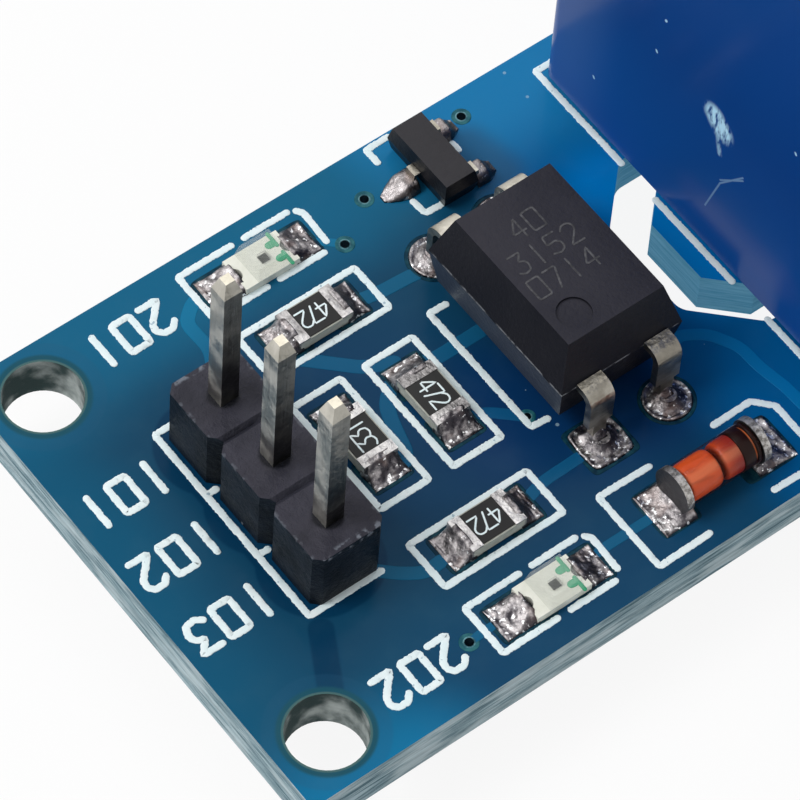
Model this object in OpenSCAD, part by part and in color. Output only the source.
// A single relay module: a bare circuit board that carries a pin header, chip parts, an optocoupler,
// a sealed relay and a screw terminal. X runs from the header end to the terminal end, and Z is up.
// The origin is under the middle of the board, level with the tips of the longest leads.

/* [Board] */
// Length of the board
board_l = 50; // [48:0.5:60]
// Width of the board
board_w = 17.5; // [17:0.1:22]
// Thickness of the board
board_t = 1.6; // [1:0.1:2]
// How far the relay and terminal leads stand out under the board
lead_out = 2; // [1.4:0.1:3]
// Diameter of the two mounting holes
mount_d = 2.5; // [2.2:0.1:2.8]
// Distance from the header end to the mounting holes
mount_x = 1.8; // [1.7:0.05:2]
// Distance between the mounting holes
mount_pitch = 14; // [13:0.1:14.2]

/* [Isolation slot] */
// Width of the routed slot
slot_w = 1.25; // [0.8:0.05:1.4]
// Distance from the header end to the middle of the slot's straight stretch
slot_x = 19.8; // [19.4:0.1:20.2]
// Offset of the slot from the centre line
slot_y = 0.1; // [0:0.05:0.2]
// Half the length of the straight stretch
slot_half = 1.45; // [1.3:0.05:1.6]
// Reach of each slanted stretch, the same along the board and across it
slot_arm = 1.55; // [1.4:0.05:1.7]
// Length of each leg under the relay
slot_leg = 3; // [2:0.5:4]

/* [Pin header] */
// Distance from the header end of the board to the row of pins
header_x = 5.2; // [4.9:0.1:5.6]
// Offset of the middle pin from the centre line
header_y = 0.15; // [-0.5:0.05:0.5]
// Pitch of the pins
header_pitch = 2.54; // [2.5:0.01:2.6]
// Width and height of the plastic strip
header_size = 2.5; // [2.3:0.1:2.8]
// Depth of the notches at which the strip snaps
header_notch = 0.35; // [0.25:0.05:0.5]
// Depth of the groove that joins two notches across the top
header_groove = 0.15; // [0.1:0.05:0.25]
// Plastic lost at each end where the strip was snapped off
header_trim = 0.1; // [0:0.05:0.2]
// Thickness of a square pin
pin_t = 0.64; // [0.6:0.01:0.7]
// Height of the pin tips over the board
pin_top = 8.5; // [7:0.1:10]
// Length of pin under the board
pin_out = 1.4; // [1:0.1:1.4]
// Length of the taper at each end of a pin
pin_taper = 0.5; // [0.2:0.1:0.8]

/* [Chip resistors] */
// Length of a chip part
chip_l = 2; // [1.8:0.05:2.2]
// Width of a chip part
chip_w = 1.25; // [1.1:0.05:1.4]
// Height of a resistor
chip_h = 0.5; // [0.4:0.05:0.6]
// Length of the metal wrapped round each end
chip_cap_l = 0.4; // [0.3:0.05:0.5]
// Thickness of that metal
chip_cap_t = 0.06; // [0.04:0.01:0.1]
// Thickness of the black coat over the resistive film
coat_t = 0.04; // [0.03:0.01:0.06]
// How far the coat stops short of the long edges
coat_inset = 0.05; // [0.03:0.01:0.1]
// Reach of the solder past the end of a chip part
fillet_l = 0.65; // [0.4:0.05:0.8]

/* [Indicator lamps] */
// Thickness of the lamp's base
lamp_base_h = 0.3; // [0.25:0.05:0.4]
// Height of the clear block over the base
lamp_lens_h = 0.5; // [0.4:0.05:0.7]
// Length of the clear block
lamp_lens_l = 1.3; // [1.1:0.05:1.4]
// Distance of the clear block and its die from the middle of the base
lamp_lens_shift = 0.1; // [0:0.05:0.15]
// Draft of the clear block on each end
lamp_lens_draft = 0.1; // [0.05:0.01:0.15]
// Radius of the half-round notch in each end
lamp_notch_r = 0.25; // [0.15:0.05:0.3]
// Side of the light-giving die
lamp_chip = 0.3; // [0.2:0.05:0.4]

/* [Glass diode] */
// Length over the end caps
diode_l = 3.2; // [3.1:0.1:3.7]
// Diameter of the end caps
diode_cap_d = 1.5; // [1.45:0.05:1.6]
// Length of an end cap
diode_cap_l = 0.26; // [0.2:0.02:0.5]
// Diameter of the glass sleeve
diode_glass_d = 1.36; // [1.3:0.02:1.4]
// Diameter of the copper-clad studs
diode_stud_d = 0.94; // [0.8:0.02:1]
// Gap between the studs, which the junction fills
diode_gap = 0.3; // [0.2:0.05:0.4]
// Diameter of the junction
diode_chip_d = 0.6; // [0.5:0.05:0.7]

/* [Transistor] */
// Width of the body along the board
sot_w = 1.3; // [1.2:0.05:1.4]
// Length of the body across the board
sot_l = 2.9; // [2.8:0.05:3]
// Height of the top of the body
sot_top = 1.1; // [1:0.05:1.2]
// Gap under the body
sot_gap = 0.1; // [0.05:0.01:0.15]
// Pitch of the two leads on one side
sot_pitch = 1.9; // [1.85:0.05:2]
// Width of a lead
sot_lead_w = 0.42; // [0.35:0.01:0.5]
// Thickness of a lead
sot_lead_t = 0.12; // [0.1:0.01:0.15]
// Reach of a lead from the middle of the body
sot_reach = 1.2; // [1.15:0.05:1.3]
// Flat length of a lead where it leaves the body
sot_knee = 0.1; // [0.08:0.01:0.15]
// Lean of a lead between the body and the board
sot_lean = 0.06; // [0.03:0.01:0.1]
// Draft of the body's sides above and below its middle
sot_draft = 0.1; // [0.06:0.01:0.12]

/* [Optocoupler] */
// Width of the body at the parting line, along the board
opto_w = 4.56; // [4.4:0.02:4.7]
// Length of the body at the parting line, across the board
opto_l = 6.4; // [6.3:0.05:6.5]
// Height of the underside
opto_low = 0.75; // [0.5:0.05:1]
// Height of the parting line
opto_mid = 2.3; // [2.1:0.05:2.5]
// Height of the top
opto_high = 4; // [3.8:0.05:4.3]
// How far the top is set in from the parting line on each side
opto_inset = 0.5; // [0.3:0.05:0.6]
// How far the underside is set in
opto_under = 0.25; // [0.1:0.05:0.35]
// Diameter of the dimple over pin 1
dimple_d = 1.1; // [0.8:0.1:1.3]
// Depth of the dimple
dimple_h = 0.08; // [0.05:0.01:0.15]
// Offset of the dimple from pin 1's line towards the middle
dimple_in = 0.33; // [0.2:0.01:0.4]
// Distance between the two rows of leads
opto_rows = 7.62; // [7.5:0.02:7.8]
// Pitch of the leads in a row
opto_pitch = 2.54; // [2.5:0.01:2.6]
// Thickness of the lead metal
opto_lead_t = 0.26; // [0.2:0.01:0.3]
// Width of a lead at its shoulder
opto_wide = 0.9; // [0.8:0.05:1.2]
// Width of a lead at its tip
opto_narrow = 0.5; // [0.4:0.02:0.55]
// Inner radius of the bend
opto_bend = 0.25; // [0.15:0.05:0.3]
// Height over the board at which the wide part ends
opto_wide_end = 0.9; // [0.6:0.05:1.2]
// Length of lead under the board
opto_out = 1.2; // [0.8:0.1:1.3]

/* [Relay] */
// Distance from the header end of the board to the relay
relay_x = 21.2; // [21:0.1:21.5]
// Length of the cover
relay_l = 19.2; // [19:0.1:19.6]
// Width of the cover
relay_w = 15.4; // [15.2:0.1:16]
// Height of the cover's top over the board
relay_h = 15.3; // [15.1:0.1:16]
// Gap between the board and the cover's rim
relay_gap = 0.25; // [0.1:0.05:0.35]
// Wall of the cover
cover_wall = 0.7; // [0.6:0.05:0.8]
// Rounding of the cover's edges
cover_r = 0.45; // [0.3:0.05:0.6]
// Height of the base's upper face
base_top = 2; // [1.8:0.1:2.2]
// Height of the base's underside over the cover's rim
base_lift = 0.15; // [0.1:0.01:0.2]
// Side of the feet under the base's corners
base_foot = 1; // [0.8:0.1:1.4]
// Distance from the relay's face to the common pin
common_x = 2.4; // [2.2:0.1:2.6]
// Distance from the common pin to the coil pins
coil_step = 2; // [1.8:0.1:2.2]
// Distance from the two contact pins to the relay's far face
contact_back = 2.6; // [2.4:0.1:2.8]
// Distance of the side pins from the middle
side_pin_y = 6; // [5.9:0.1:6.2]
// Diameter of a coil pin
coil_pin_d = 0.7; // [0.6:0.05:0.8]
// Thickness of the yoke plate
yoke_t = 1; // [0.8:0.1:1.1]
// Width of the yoke and of the armature
yoke_w = 8; // [7:0.5:9]
// Height of the yoke's hinge edge
yoke_top = 11.4; // [11:0.1:11.8]
// Reach of the yoke's foot past the coil's axis
yoke_past = 3.8; // [3.5:0.1:4.2]
// Distance from the relay's face to the coil's axis
coil_x = 8.6; // [8.4:0.1:8.8]
// Diameter of the core
core_d = 4; // [3.6:0.1:4.4]
// Diameter of the core's pole face
pole_d = 6.5; // [6:0.1:7]
// Thickness of the pole face
pole_t = 0.7; // [0.5:0.1:0.9]
// Gap between the pole face and the armature at rest
pole_gap = 0.35; // [0.3:0.01:0.45]
// Side of the bobbin's flanges
flange_side = 11; // [10.6:0.1:11.2]
// Thickness of the flanges
flange_t = 0.8; // [0.6:0.1:1]
// Reach of the lower flange past the coil pins
pin_margin = 0.6; // [0.5:0.05:0.7]
// Wall of the bobbin's tube
bobbin_wall = 0.6; // [0.4:0.1:0.8]
// Diameter of the winding
winding_d = 10; // [9:0.1:10.4]
// Thickness of the armature
armature_t = 0.9; // [0.8:0.05:1]
// Gap between the end of the armature and the contacts
armature_gap = 1.8; // [1.4:0.1:2]
// Thickness of the spring blade
blade_t = 0.25; // [0.2:0.01:0.3]
// Width of the spring blade
blade_w = 5; // [4:0.1:6]
// Length of the blade's hook down the back of the yoke
blade_hook = 3; // [2:0.1:4]
// Gap between that hook and the yoke
blade_back = 0.1; // [0.05:0.01:0.15]
// Diameter of the contacts
contact_d = 2.6; // [2.2:0.1:2.8]
// Height of a contact button
button_h = 0.4; // [0.3:0.05:0.5]
// Distance from the contact pins back to the contacts
contact_in = 1.4; // [1.3:0.05:1.5]
// Thickness of the fixed contact strips
strip_t = 0.4; // [0.3:0.05:0.5]
// Width of the fixed contact strips
strip_w = 1; // [0.8:0.1:1.2]
// Gap between the open contacts at rest
contact_gap = 0.55; // [0.5:0.01:0.6]

/* [Screw terminal] */
// Distance between the relay and the terminal
terminal_gap = 1; // [0.5:0.1:1.4]
// Depth of the terminal along the board
terminal_l = 7.8; // [7.6:0.1:8.2]
// Height of the terminal
terminal_h = 10; // [9.8:0.1:11]
// Distance between its ways
terminal_pitch = 5.08; // [5:0.02:5.1]
// Depth of the step in its front
front_step = 0.9; // [0.7:0.1:1]
// Height of that step below the top
front_drop = 2.6; // [2.2:0.1:2.8]
// Depth of the step in its back
back_step = 1.1; // [0.8:0.1:1.1]
// Height of that step below the top
back_drop = 1.6; // [1.4:0.1:2]
// Rise of the slopes that join the steps to its faces
step_slope = 0.7; // [0.5:0.1:0.8]
// Width of the cell in which a clamp rides
cell_w = 4.3; // [4.2:0.05:4.4]
// Wall behind the cells
cell_back = 1.2; // [1:0.1:1.3]
// Wall in front of the cells
cell_front = 1.2; // [1:0.1:1.3]
// Height of the cells
cell_h = 8.5; // [8.4:0.05:8.7]
// Side of the wire entry
entry_w = 3.4; // [3:0.1:3.6]
// Height of the wire entry's lower edge
entry_low = 1.3; // [1:0.1:1.5]
// Lead-in round a wire entry
entry_funnel = 0.4; // [0.2:0.05:0.5]
// Offset of the screws from the middle of the cells, towards the wires
screw_shift = 0.2; // [0:0.05:0.3]
// Diameter of a screw head
screw_head_d = 3.8; // [3.6:0.05:3.9]
// Height of a screw head
screw_head_h = 1.2; // [1:0.05:1.3]
// Diameter of a screw's shank
screw_d = 2.9; // [2.5:0.05:3]
// Running clearance of a screw, on its radius
screw_fit = 0.06; // [0.03:0.01:0.09]
// Width and depth of the driver slot
driver_slot = 0.6; // [0.5:0.05:0.7]
// Length of a clamp along the board
clamp_l = 3.8; // [3.6:0.1:4]
// Play of a clamp in its cell, on each side
clamp_play = 0.12; // [0.08:0.01:0.16]
// Wall of a clamp
clamp_wall = 0.6; // [0.5:0.05:0.65]
// Height of the space inside a clamp
clamp_open = 3.5; // [3.4:0.05:3.6]
// Height of a clamp's underside when it is open
clamp_low = 0.9; // [0.8:0.05:1]
// Thickness of a fixed contact
bar_t = 0.8; // [0.6:0.05:0.9]
// Width of a fixed contact
bar_w = 2.6; // [2.2:0.1:2.7]
// Width of the solder pin below it
bar_pin_w = 1; // [0.8:0.1:1.2]
// Gap between a clamp's roof and its fixed contact
bar_play = 0.1; // [0.05:0.01:0.15]

/* [Solder] */
// Clearance of a lead in its plated hole, on each side
hole_play = 0.15; // [0.1:0.01:0.2]
// Reach of a solder ring past its hole
ring = 0.45; // [0.3:0.05:0.5]
// Height of the solder collar on the board round an optocoupler lead
collar_h = 0.3; // [0.2:0.05:0.4]
// Height of a solder cone under the board
cone_h = 0.9; // [0.6:0.05:1]
// Film of solder round the tip of a lead
tip_film = 0.1; // [0.05:0.01:0.12]
// Height of the solder on a chip part's end
chip_wet = 0.42; // [0.3:0.01:0.45]
// Height of the solder on the diode's end caps
diode_wet = 0.6; // [0.4:0.05:0.7]
// Height of the solder at a transistor lead
sot_wet = 0.3; // [0.15:0.05:0.4]
// Width of the solder at a transistor lead
sot_pool = 0.67; // [0.5:0.01:0.8]

/* [Hidden] */
$fn = 48;
top_z = lead_out + board_t;
fit_gap = 0.02;
// How far a cut runs past the face that it opens
over = 1;
// Outline of a wedge of solder, as shares of its length and height
WEDGE = [[1, 0], [0.9, 0.18], [0.45, 0.4], [0.15, 0.75]];
// Share of a cone's height at its waist, and of a collar's height at its rim
cone_waist = 0.3;
collar_rim = 0.7;

// Places of the chip parts: distance from the header end, offset from the centre line, turn
RESISTORS = [[9.9, 4.43, 0], [8.45, 0.2, 90], [11.1, 0.13, 90], [9.67, -4.3, 0]];
LAMPS = [[9.85, 7.02, 0], [9.9, -7.1, 0]];
DIODE = [16.15, -6.83];
SOT = [16.2, 6.8];
OPTO = [15.55, 0.15];

terminal_x = relay_x + relay_l + terminal_gap;
screw_x = cell_back + (terminal_l - cell_back - cell_front) / 2 + screw_shift;
clamp_w = cell_w - 2 * clamp_play;
clamp_h = clamp_open + 2 * clamp_wall;
bar_z = clamp_low + clamp_wall + clamp_open - bar_play - bar_t;
pole_top = yoke_top - pole_gap;
bobbin_low = base_top + yoke_t;
bobbin_high = pole_top - pole_t;
blade_z = yoke_top + armature_t;
yoke_x = common_x - yoke_t / 2;
button_x = relay_l - contact_back - contact_in;
armature_l = button_x - contact_d / 2 - armature_gap - yoke_x;
yoke_foot = coil_x + yoke_past - yoke_x;
screw_low = bar_z + bar_t + fit_gap;
diode_glass_l = diode_l - 2 * diode_cap_l;
sot_mid = (sot_gap + sot_top) / 2;

// Leads through the board: [from the header end, from the centre line, size in x, size in y, collar height]
HEADER_LEADS = [for (i = [1, 0, -1]) [header_x, header_y + i * header_pitch, pin_t, pin_t, 0]];
OPTO_LEADS = [for (y = [-1, 1], x = [-1, 1])
    [OPTO[0] + x * opto_pitch / 2, OPTO[1] + y * opto_rows / 2, opto_narrow, opto_lead_t, collar_h]];
RELAY_LEADS = concat(
    [[relay_x + common_x, 0, yoke_t, strip_w, 0]],
    [for (y = [-1, 1]) [relay_x + common_x + coil_step, y * side_pin_y, coil_pin_d, coil_pin_d, 0]],
    [for (y = [-1, 1]) [relay_x + relay_l - contact_back, y * side_pin_y, strip_t, strip_w, 0]]);
TERMINAL_LEADS = [for (i = [-1:1])
    [terminal_x + cell_back + bar_t / 2, i * terminal_pitch, bar_t, bar_pin_w, 0]];
LEADS = concat(HEADER_LEADS, OPTO_LEADS, RELAY_LEADS, TERMINAL_LEADS);

// Stands children on the board's upper face, x from the header end and y from the centre line.
module on_board(x, y, turn = 0)
{
    translate([x - board_l / 2, y, top_z])
        rotate(turn)
            children();
}

// A box centred in x and y that stands on z.
module block(size, z = 0)
{
    translate([-size[0] / 2, -size[1] / 2, z])
        cube(size);
}

// A rectangle centred on the origin with round corners.
module round_rect(l, w, r)
{
    square([l - 2 * r, w], center = true);
    square([l, w - 2 * r], center = true);
    for (x = [-1, 1], y = [-1, 1])
        translate([x * (l / 2 - r), y * (w / 2 - r)])
            circle(r);
}

// An outline in x and z pushed through a width along y.
module across(w)
{
    rotate([90, 0, 0])
        linear_extrude(w, center = true)
            children();
}

// The outline of a taper of half width a, seen from the side.
function slope_profile(a, z0, z1, inset0, inset1) =
    [[inset0 - a, z0], [a - inset0, z0], [a - inset1, z1], [inset1 - a, z1]];

// A block that narrows from one end to the other, with flat slanted sides.
module taper(l, w, z0, z1, inset0, inset1)
{
    intersection()
    {
        across(w)
            polygon(slope_profile(l / 2, z0, z1, inset0, inset1));
        rotate(90)
            across(l)
                polygon(slope_profile(w / 2, z0, z1, inset0, inset1));
    }
}

// Diameter of the plated hole for a lead.
function hole_d(lead) = norm([lead[2], lead[3]]) + 2 * hole_play;

// ---- board ----

// One straight pass of the router from a to b.
module slot_pass(a, b)
{
    way = b - a;
    translate((a + b) / 2)
        rotate(atan2(way.y, way.x))
            square([norm(way), slot_w], center = true);
}

module slot_outline()
{
    turn = slot_half + slot_arm;
    half_path = [[0, slot_half], [slot_arm, turn], [slot_arm + slot_leg, turn]];
    path = concat([for (i = [len(half_path) - 1:-1:0]) half_path[i]], [for (p = half_path) [p.x, -p.y]]);
    translate([slot_x - board_l / 2, slot_y])
    {
        for (p = path)
            translate(p)
                circle(d = slot_w);
        for (i = [1:len(path) - 1])
            slot_pass(path[i - 1], path[i]);
    }
}

module circuit_board()
{
    color([0.05, 0.3, 0.45])
        translate([0, 0, lead_out])
            linear_extrude(board_t)
                difference()
                {
                    square([board_l, board_w], center = true);
                    for (y = [-1, 1])
                        translate([mount_x - board_l / 2, y * mount_pitch / 2])
                            circle(d = mount_d);
                    slot_outline();
                    for (lead = LEADS)
                        translate([lead[0] - board_l / 2, lead[1]])
                            circle(d = hole_d(lead));
                }
}

// ---- pin header ----

module header_outline()
{
    difference()
    {
        square([header_size, 3 * header_pitch - 2 * header_trim], center = true);
        for (i = [-1.5:1.5], side = [-1, 1])
            translate([side * header_size / 2, i * header_pitch])
                rotate(45)
                    square(header_notch * sqrt(2), center = true);
        for (i = [-1:1])
            translate([0, i * header_pitch])
                square(pin_t, center = true);
    }
}

module header_housing()
{
    groove = header_groove * sqrt(2);
    color([0.08, 0.08, 0.09])
        on_board(header_x, header_y)
            difference()
            {
                linear_extrude(header_size)
                    header_outline();
                for (i = [-0.5, 0.5])
                    translate([0, i * header_pitch, header_size])
                        rotate([45, 0, 0])
                            cube([header_size + over, groove, groove], center = true);
            }
}

// A square pin with a taper at each end.
module square_pin(t, z0, z1, cut)
{
    profile = [[-t / 4, z0], [t / 4, z0], [t / 2, z0 + cut], [t / 2, z1 - cut],
        [t / 4, z1], [-t / 4, z1], [-t / 2, z1 - cut], [-t / 2, z0 + cut]];
    intersection()
    {
        across(t)
            polygon(profile);
        rotate(90)
            across(t)
                polygon(profile);
    }
}

module header_pin(i)
{
    color([0.75, 0.73, 0.66])
        on_board(HEADER_LEADS[i - 1][0], HEADER_LEADS[i - 1][1])
            square_pin(pin_t, -board_t - pin_out, pin_top, pin_taper);
}

// ---- chip resistors ----

module chip_place(i)
{
    on_board(RESISTORS[i][0], RESISTORS[i][1], RESISTORS[i][2])
        children();
}

module chip_core()
{
    block([chip_l - 2 * chip_cap_t, chip_w, chip_h - 2 * chip_cap_t], chip_cap_t);
}

module resistor(i)
{
    color([0.82, 0.83, 0.78])
        chip_place(i - 1)
            chip_core();
}

module resistor_caps(i)
{
    color([0.8, 0.8, 0.8])
        chip_place(i - 1)
            difference()
            {
                block([chip_l, chip_w, chip_h]);
                block([chip_l - 2 * chip_cap_l, chip_w + over, chip_h + over], -over / 2);
                chip_core();
            }
}

module resistor_coats()
{
    color([0.09, 0.09, 0.09])
        for (i = [0:len(RESISTORS) - 1])
            chip_place(i)
                block([chip_l - 2 * chip_cap_l, chip_w - 2 * coat_inset, coat_t], chip_h - chip_cap_t);
}

// ---- indicator lamps ----

module lamp_place(i)
{
    on_board(LAMPS[i][0], LAMPS[i][1], LAMPS[i][2])
        children();
}

module lamp_notches()
{
    for (x = [-1, 1])
        translate([x * chip_l / 2, 0, -over])
            cylinder(r = lamp_notch_r, h = lamp_base_h + 2 * over);
}

module led_base(i)
{
    color([0.9, 0.88, 0.8])
        lamp_place(i)
            block([chip_l - 2 * chip_cap_l, chip_w, lamp_base_h]);
}

module led_terminals(i)
{
    color([0.8, 0.79, 0.74])
        lamp_place(i)
            difference()
            {
                block([chip_l, chip_w, lamp_base_h]);
                block([chip_l - 2 * chip_cap_l, chip_w + over, lamp_base_h + 2 * over], -over);
                lamp_notches();
            }
}

module led_chip(i)
{
    color([0.5, 0.5, 0.45])
        lamp_place(i)
            translate([lamp_lens_shift, 0, 0])
                block([lamp_chip, lamp_chip, lamp_chip / 2], lamp_base_h);
}

module led_lens(i)
{
    color([0.9, 0.93, 0.9, 0.6])
        lamp_place(i)
            translate([lamp_lens_shift, 0, 0])
                difference()
                {
                    taper(lamp_lens_l, chip_w, lamp_base_h, lamp_base_h + lamp_lens_h, 0, lamp_lens_draft);
                    block([lamp_chip, lamp_chip, lamp_chip / 2], lamp_base_h);
                }
}

// ---- glass diode ----

module diode_place()
{
    on_board(DIODE[0], DIODE[1])
        translate([0, 0, diode_cap_d / 2 + fit_gap])
            rotate([0, 90, 0])
                children();
}

module diode_glass()
{
    color([0.85, 0.5, 0.4, 0.5])
        diode_place()
            difference()
            {
                cylinder(d = diode_glass_d, h = diode_glass_l, center = true);
                cylinder(d = diode_stud_d + 2 * fit_gap, h = diode_l, center = true);
            }
}

module diode_caps()
{
    color([0.78, 0.77, 0.74])
        diode_place()
            for (x = [-1, 1])
                translate([0, 0, x * (diode_l - diode_cap_l) / 2])
                    cylinder(d = diode_cap_d, h = diode_cap_l, center = true);
}

module diode_studs()
{
    color([0.8, 0.22, 0.08])
        diode_place()
            for (x = [0, 180])
                rotate([x, 0, 0])
                    translate([0, 0, diode_gap / 2])
                        cylinder(d = diode_stud_d, h = (diode_glass_l - diode_gap) / 2);
}

module diode_junction()
{
    color([0.15, 0.08, 0.06])
        diode_place()
            cylinder(d = diode_chip_d, h = diode_gap, center = true);
}

// ---- transistor ----

module transistor_body()
{
    color([0.07, 0.07, 0.07])
        on_board(SOT[0], SOT[1])
        {
            taper(sot_w, sot_l, sot_mid, sot_top, 0, sot_draft);
            taper(sot_w, sot_l, sot_gap, sot_mid, sot_draft, 0);
        }
}

// A folded lead: out of the body, down and along the board.
module gull_lead()
{
    x0 = sot_w / 2;
    x1 = x0 + sot_knee;
    x2 = x1 + sot_lean;
    t = sot_lead_t;
    z0 = sot_mid - t / 2;
    across(sot_lead_w)
        polygon([[x0, z0], [x1, z0], [x2, 0], [sot_reach, 0],
            [sot_reach, t], [x2 + t, t], [x1 + t, z0 + t], [x0, z0 + t]]);
}

module transistor_leads()
{
    color([0.75, 0.74, 0.7])
        on_board(SOT[0], SOT[1])
        {
            for (y = [-1, 1])
                translate([0, y * sot_pitch / 2])
                    gull_lead();
            rotate(180)
                gull_lead();
        }
}

// ---- optocoupler ----

module optocoupler_body()
{
    color([0.1, 0.1, 0.11])
        on_board(OPTO[0], OPTO[1])
            difference()
            {
                union()
                {
                    taper(opto_w, opto_l, opto_mid, opto_high, 0, opto_inset);
                    taper(opto_w, opto_l, opto_low, opto_mid, opto_under, 0);
                }
                translate([dimple_in - opto_pitch / 2, -opto_rows / 4, opto_high - dimple_h])
                    cylinder(d = dimple_d, h = over);
            }
}

// One lead: a wide shoulder that bends down and ends in a narrow pin.
module optocoupler_lead(i)
{
    t = opto_lead_t;
    lead = OPTO_LEADS[i - 1];
    side = lead[1] > OPTO[1] ? 0 : 180;
    y_in = opto_l / 2;
    y_out = opto_rows / 2 + t / 2;
    r = opto_bend + t;
    z = opto_mid;
    low = -board_t - opto_out;
    color([0.72, 0.7, 0.62])
        on_board(lead[0], OPTO[1], side)
        {
            rotate(90)
                across(opto_wide)
                {
                    translate([y_in, z - t / 2])
                        square([y_out - r - y_in, t]);
                    translate([y_out - t, opto_wide_end])
                        square([t, z + t / 2 - r - opto_wide_end]);
                    translate([y_out - r, z + t / 2 - r])
                        intersection()
                        {
                            difference()
                            {
                                circle(r);
                                circle(opto_bend);
                            }
                            square(r);
                        }
                }
            translate([0, y_out - t / 2])
                block([opto_narrow, t, opto_wide_end - low], low);
        }
}

// ---- relay ----

// Puts the relay's own frame on the board: x from its face, y from its middle.
module in_relay()
{
    on_board(relay_x, 0)
        children();
}

module relay_pin_hole(lead, low, high)
{
    translate([lead[0] - relay_x, lead[1]])
        block([lead[2], lead[3], high - low], low);
}

module relay_cover()
{
    color([0.05, 0.13, 0.5])
        in_relay()
            translate([relay_l / 2, 0])
                difference()
                {
                    intersection()
                    {
                        translate([0, 0, relay_gap])
                            linear_extrude(relay_h - relay_gap)
                                round_rect(relay_l, relay_w, cover_r);
                        across(relay_w)
                            round_rect(relay_l, 2 * relay_h, cover_r);
                        rotate(90)
                            across(relay_l)
                                round_rect(relay_w, 2 * relay_h, cover_r);
                    }
                    block([relay_l - 2 * cover_wall, relay_w - 2 * cover_wall, relay_h - cover_wall]);
                }
}

module relay_base()
{
    l = relay_l - 2 * cover_wall - 2 * fit_gap;
    w = relay_w - 2 * cover_wall - 2 * fit_gap;
    rise = relay_gap + base_lift;
    color([0.06, 0.12, 0.4])
        in_relay()
            difference()
            {
                translate([relay_l / 2, 0])
                {
                    block([l, w, base_top - rise], rise);
                    for (x = [-1, 1], y = [-1, 1])
                        translate([x * (l / 2 - base_foot), y * (w / 2 - base_foot)])
                            block([base_foot, base_foot, rise]);
                }
                relay_pin_hole(RELAY_LEADS[0], -over, base_top + over);
                for (i = [1, 2])
                    translate([RELAY_LEADS[i][0] - relay_x, RELAY_LEADS[i][1], -over])
                        cylinder(d = coil_pin_d, h = base_top + 2 * over);
                for (i = [3, 4])
                    relay_pin_hole(RELAY_LEADS[i], -over, base_top + over);
            }
}

module relay_yoke()
{
    color([0.6, 0.6, 0.58])
        in_relay()
            difference()
            {
                union()
                {
                    translate([yoke_x, -yoke_w / 2, base_top])
                        cube([yoke_t, yoke_w, yoke_top - base_top]);
                    translate([yoke_x, -yoke_w / 2, base_top])
                        cube([yoke_foot, yoke_w, yoke_t]);
                    relay_pin_hole(RELAY_LEADS[0], -board_t - lead_out, base_top);
                }
                translate([coil_x, 0, base_top - over])
                    cylinder(d = core_d, h = yoke_t + 2 * over);
            }
}

module relay_core()
{
    color([0.55, 0.55, 0.55])
        in_relay()
            translate([coil_x, 0])
            {
                translate([0, 0, base_top])
                    cylinder(d = core_d, h = bobbin_high - base_top);
                translate([0, 0, bobbin_high])
                    cylinder(d = pole_d, h = pole_t);
            }
}

module relay_bobbin()
{
    bore = core_d + 2 * fit_gap;
    color([0.85, 0.84, 0.78])
        in_relay()
            difference()
            {
                translate([coil_x, 0])
                {
                    translate([0, 0, bobbin_low])
                        cylinder(d = bore + 2 * bobbin_wall, h = bobbin_high - bobbin_low);
                    block([flange_side, 2 * (side_pin_y + pin_margin), flange_t], bobbin_low);
                    block([flange_side, flange_side, flange_t], bobbin_high - flange_t);
                }
                translate([coil_x, 0, bobbin_low - over])
                    cylinder(d = bore, h = bobbin_high);
                for (i = [1, 2])
                    translate([RELAY_LEADS[i][0] - relay_x, RELAY_LEADS[i][1], bobbin_low - over])
                        cylinder(d = coil_pin_d, h = flange_t + 2 * over);
            }
}

module relay_coil()
{
    low = bobbin_low + flange_t;
    color([0.72, 0.36, 0.14])
        in_relay()
            translate([coil_x, 0, low])
                difference()
                {
                    cylinder(d = winding_d, h = bobbin_high - flange_t - low);
                    translate([0, 0, -over])
                        cylinder(d = core_d + 2 * bobbin_wall + 4 * fit_gap, h = bobbin_high);
                }
}

module relay_coil_pins()
{
    low = -board_t - lead_out;
    color([0.76, 0.74, 0.68])
        in_relay()
            for (i = [1, 2])
                translate([RELAY_LEADS[i][0] - relay_x, RELAY_LEADS[i][1], low])
                    cylinder(d = coil_pin_d, h = bobbin_low + flange_t - low);
}

module relay_armature()
{
    color([0.58, 0.58, 0.56])
        in_relay()
            translate([yoke_x, -yoke_w / 2, yoke_top])
                cube([armature_l, yoke_w, armature_t]);
}

// The spring blade rides on the armature, carries the moving contact and hooks over the yoke.
module relay_blade()
{
    x0 = yoke_x - blade_back - blade_t;
    low = yoke_top - blade_hook;
    color([0.78, 0.55, 0.28])
        in_relay()
        {
            translate([x0, -blade_w / 2, blade_z])
                cube([button_x + contact_d / 2 - x0, blade_w, blade_t]);
            translate([x0, -blade_w / 2, low])
                cube([blade_t, blade_w, blade_z + blade_t - low]);
            translate([button_x, 0, blade_z - button_h])
                cylinder(d = contact_d, h = blade_t + 2 * button_h);
        }
}

// A fixed contact: a pin, an upright strip, an arm to the middle and a button.
module fixed_contact(lead, arm_z, button_z)
{
    side = sign(lead[1]);
    x = lead[0] - relay_x;
    pin_low = -board_t - lead_out;
    arm_x = button_x - contact_d / 2;
    arm_l = side_pin_y + strip_w / 2 + contact_d / 2;
    color([0.8, 0.6, 0.32])
        in_relay()
        {
            relay_pin_hole(lead, pin_low, arm_z + strip_t);
            translate([arm_x, side > 0 ? -contact_d / 2 : contact_d / 2 - arm_l, arm_z])
                cube([x + strip_t / 2 - arm_x, arm_l, strip_t]);
            translate([button_x, 0, button_z])
                cylinder(d = contact_d, h = button_h);
        }
}

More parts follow.
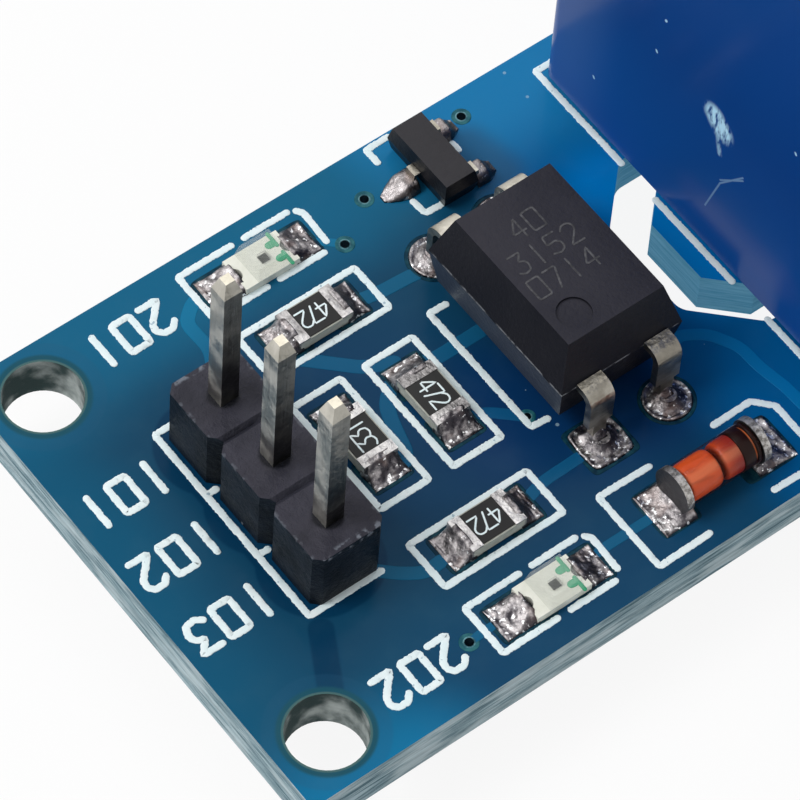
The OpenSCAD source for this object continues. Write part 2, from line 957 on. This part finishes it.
module relay_contact_no()
{
    button_top = blade_z - button_h - contact_gap;
    fixed_contact(RELAY_LEADS[4], button_top - button_h - strip_t, button_top - button_h);
}

module relay_contact_nc()
{
    button_low = blade_z + blade_t + button_h + fit_gap;
    fixed_contact(RELAY_LEADS[3], button_low + button_h, button_low);
}

// ---- screw terminal ----

module in_terminal(way = 0)
{
    on_board(terminal_x, way * terminal_pitch)
        children();
}

// The lead-in that widens a wire entry towards its face.
module entry_lead_in(w, h)
{
    reach = entry_funnel + fit_gap;
    rotate([0, 90, 0])
        taper(h + 2 * reach, w + 2 * reach, -entry_funnel, fit_gap, reach, 0);
}

module terminal_housing()
{
    w = 3 * terminal_pitch;
    cell_l = terminal_l - cell_back - cell_front;
    entry_h = clamp_low + clamp_wall + clamp_open - entry_low - bar_play;
    front_x = terminal_l - front_step;
    front_z = terminal_h - front_drop;
    back_z = terminal_h - back_drop;
    color([0.1, 0.3, 0.62])
        in_terminal()
            difference()
            {
                across(w)
                    polygon([[0, 0], [terminal_l, 0], [terminal_l, front_z - step_slope],
                        [front_x, front_z], [front_x, terminal_h], [back_step, terminal_h],
                        [back_step, back_z], [0, back_z - step_slope]]);
                for (i = [-1:1])
                    translate([0, i * terminal_pitch])
                    {
                        translate([cell_back, -cell_w / 2, -over])
                            cube([cell_l, cell_w, cell_h + over]);
                        translate([screw_x, 0, cell_h - over])
                            cylinder(r = screw_head_d / 2 + screw_fit, h = terminal_h);
                        translate([terminal_l - cell_front - over, -entry_w / 2, entry_low])
                            cube([cell_front + 2 * over, entry_w, entry_h]);
                        translate([terminal_l, 0, entry_low + entry_h / 2])
                            entry_lead_in(entry_w, entry_h);
                    }
            }
}

module terminal_screw(i)
{
    head_z = cell_h + fit_gap;
    slot_z = head_z + screw_head_h - driver_slot;
    color([0.8, 0.8, 0.82])
        in_terminal(i - 2)
            translate([screw_x, 0])
                difference()
                {
                    union()
                    {
                        translate([0, 0, head_z])
                            cylinder(d = screw_head_d, h = screw_head_h);
                        translate([0, 0, screw_low])
                            cylinder(d = screw_d, h = head_z - screw_low);
                    }
                    block([driver_slot, screw_head_d + over, screw_head_h], slot_z);
                }
}

module terminal_clamp(i)
{
    color([0.8, 0.72, 0.42])
        in_terminal(i - 2)
            translate([screw_x, 0, clamp_low])
                difference()
                {
                    block([clamp_l, clamp_w, clamp_h]);
                    block([clamp_l + over, clamp_w - 2 * clamp_wall, clamp_open], clamp_wall);
                    cylinder(r = screw_d / 2 + screw_fit, h = 3 * clamp_h);
                }
}

module terminal_contact(i)
{
    lead = TERMINAL_LEADS[i - 1];
    low = -board_t - lead_out;
    reach = screw_x + clamp_l / 2 - cell_back;
    color([0.76, 0.74, 0.68])
        in_terminal(i - 2)
        {
            translate([cell_back, -bar_w / 2, bar_z])
                cube([reach, bar_w, bar_t]);
            translate([cell_back, -bar_pin_w / 2, low])
                cube([bar_t, bar_pin_w, bar_z - low]);
        }
}

// ---- solder ----

// A wedge of solder against the end of a chip part, from x = 0 outwards.
module fillet(w, h)
{
    across(w)
        polygon(concat([[0, 0]], [for (p = WEDGE) [p[0] * fillet_l, p[1] * h]], [[0, h]]));
}

module fillet_pair(l, w, h)
{
    for (a = [0, 180])
        rotate(a)
            translate([l / 2, 0])
                fillet(w, h);
}

module surface_solder()
{
    color([0.75, 0.75, 0.75])
    {
        for (i = [0:len(RESISTORS) - 1])
            chip_place(i)
                fillet_pair(chip_l, chip_w, chip_wet);
        for (i = [0:len(LAMPS) - 1])
            lamp_place(i)
                fillet_pair(chip_l, chip_w, lamp_base_h);
        on_board(DIODE[0], DIODE[1])
            fillet_pair(diode_l, diode_cap_d, diode_wet);
        on_board(SOT[0], SOT[1])
        {
            for (y = [-1, 1])
                translate([sot_reach, y * sot_pitch / 2])
                    fillet(sot_pool, sot_wet);
            rotate(180)
                translate([sot_reach, 0])
                    fillet(sot_pool, sot_wet);
        }
    }
}

// The solder of one lead: a plug in the hole, a cone below and a low collar on top where it shows.
module solder_joint(lead)
{
    r = hole_d(lead) / 2;
    tip = norm([lead[2], lead[3]]) / 2 + tip_film;
    low = -board_t - cone_h;
    collar = lead[4];
    waist = -board_t - cone_h * cone_waist;
    cone = [[0, low], [tip, low], [r, waist], [r + ring, -board_t], [r, -board_t], [r, 0]];
    rim = collar > 0 ? [[r + ring, 0], [r, collar * collar_rim], [tip, collar]] : [];
    on_board(lead[0], lead[1])
        difference()
        {
            rotate_extrude()
                polygon(concat(cone, rim, [[0, collar]]));
            block([lead[2], lead[3], collar - low + 2 * over], low - over);
        }
}

module lead_solder()
{
    color([0.75, 0.75, 0.75])
        for (lead = LEADS)
            solder_joint(lead);
}

// ---- nodes ----

circuit_board();
header_housing();
for (i = [1:3])
{
    header_pin(i);
    terminal_screw(i);
    terminal_clamp(i);
    terminal_contact(i);
}
for (i = [1:4])
{
    resistor(i);
    resistor_caps(i);
    optocoupler_lead(i);
}
resistor_coats();
for (i = [0, 1])
{
    name = ["power", "signal"][i];
    led_base(i);
    led_terminals(i);
    led_chip(i);
    led_lens(i);
}
diode_glass();
diode_caps();
diode_studs();
diode_junction();
transistor_body();
transistor_leads();
optocoupler_body();
relay_cover();
relay_base();
relay_bobbin();
relay_coil();
relay_core();
relay_yoke();
relay_armature();
relay_blade();
relay_contact_no();
relay_contact_nc();
relay_coil_pins();
terminal_housing();
surface_solder();
lead_solder();
